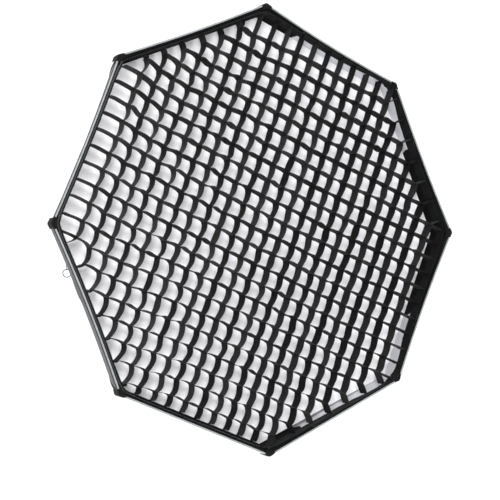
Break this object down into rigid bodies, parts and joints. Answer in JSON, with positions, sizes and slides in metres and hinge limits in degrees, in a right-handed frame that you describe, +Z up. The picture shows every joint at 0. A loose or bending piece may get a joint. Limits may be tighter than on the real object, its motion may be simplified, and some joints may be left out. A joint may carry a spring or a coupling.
{
  "type": "octabox",
  "caption": "Eight-sided softbox on a bayonet speed ring, with bowed rods, recessed diffuser and fabric egg-crate grid.",
  "frame": {"origin": "centre of the mount throat at its rear face", "axes": "+Y out of the back towards the lamp, the front faces -Y, +Z up through one corner of the octagon"},
  "size_m": [1.23, 0.478, 1.23],
  "materials": {
    "shell_fabric": "black coated nylon",
    "lip_fabric": "black nylon",
    "pocket_webbing": "black webbing, stitched",
    "webbing": "black elastic webbing",
    "silver_piping": "silver grey corded piping",
    "diffuser_cloth": "white translucent nylon",
    "baffle_cloth": "white translucent nylon",
    "grid_fabric": "black polyester with a slight sheen",
    "hook_tape": "black hook and loop tape",
    "socket_nylon": "glass filled nylon",
    "tip_rubber": "moulded cap",
    "rod_steel": "spring steel",
    "ring_aluminium": "black anodised",
    "insert_steel": "nickel plated",
    "washer_plastic": "acetal",
    "screw_steel": "zinc plated",
    "knob_plastic": "moulded nylon",
    "zip_fabric": "woven zip tape",
    "zip_coil": "nylon coil",
    "zip_metal": "black lacquered"
  },
  "bodies": {
    "mount": {"bayonet_insert": "insert_steel", "friction_washer": "washer_plastic", "retaining_ring": "insert_steel", "retaining_screws": "screw_steel"},
    "knob": {"lock_knob": "knob_plastic"},
    "slider": {"zip_slider": "zip_metal"},
    "pull": {"zip_pull": "zip_metal"},
    "box": {"baffle_straps": "webbing", "corner_pockets": "pocket_webbing", "diffuser_hem": "diffuser_cloth", "front_diffuser": "diffuser_cloth", "front_hem": "lip_fabric", "front_lip": "lip_fabric", "grid_band": "grid_fabric", "grid_strips_cross": "grid_fabric", "grid_strips_rise": "grid_fabric", "grid_tape": "hook_tape", "inner_baffle": "baffle_cloth", "rear_sleeve": "shell_fabric", "rim_piping": "silver_piping", "rod_1": "rod_steel", "rod_2": "rod_steel", "rod_3": "rod_steel", "rod_4": "rod_steel", "rod_5": "rod_steel", "rod_6": "rod_steel", "rod_7": "rod_steel", "rod_8": "rod_steel", "rod_socket_1": "socket_nylon", "rod_socket_2": "socket_nylon", "rod_socket_3": "socket_nylon", "rod_socket_4": "socket_nylon", "rod_socket_5": "socket_nylon", "rod_socket_6": "socket_nylon", "rod_socket_7": "socket_nylon", "rod_socket_8": "socket_nylon", "rod_tips": "tip_rubber", "shell_gore_1": "shell_fabric", "shell_gore_2": "shell_fabric", "shell_gore_3": "shell_fabric", "shell_gore_4": "shell_fabric", "shell_gore_5": "shell_fabric", "shell_gore_6": "shell_fabric", "shell_gore_7": "shell_fabric", "shell_gore_8": "shell_fabric", "sleeve_strap": "webbing", "socket_screws": "screw_steel", "speed_ring": "ring_aluminium", "zip_tape": "zip_fabric", "zip_teeth": "zip_coil"}
  },
  "joints": [
    {"name": "ring_turn", "type": "hinge", "parent": "mount", "child": "box", "pos_m": [0, -0.02, 0], "axis": [0, 1, 0], "continuous": true},
    {"name": "knob_turn", "type": "hinge", "parent": "box", "child": "knob", "pos_m": [0.03444, -0.0196, 0.08315], "axis": [0.3827, 0, 0.9239], "range_deg": [0, 720]},
    {"name": "zip_slide", "type": "slide", "parent": "box", "child": "slider", "axis": [0.3827, 0, -0.9239], "range_m": [0, 0.259]},
    {"name": "pull_swing", "type": "hinge", "parent": "slider", "child": "pull", "pos_m": [-0.49434, -0.25546, -0.0976], "axis": [0.4844, 0.8515, 0.2007], "range_deg": [0, 141]}
  ]
}
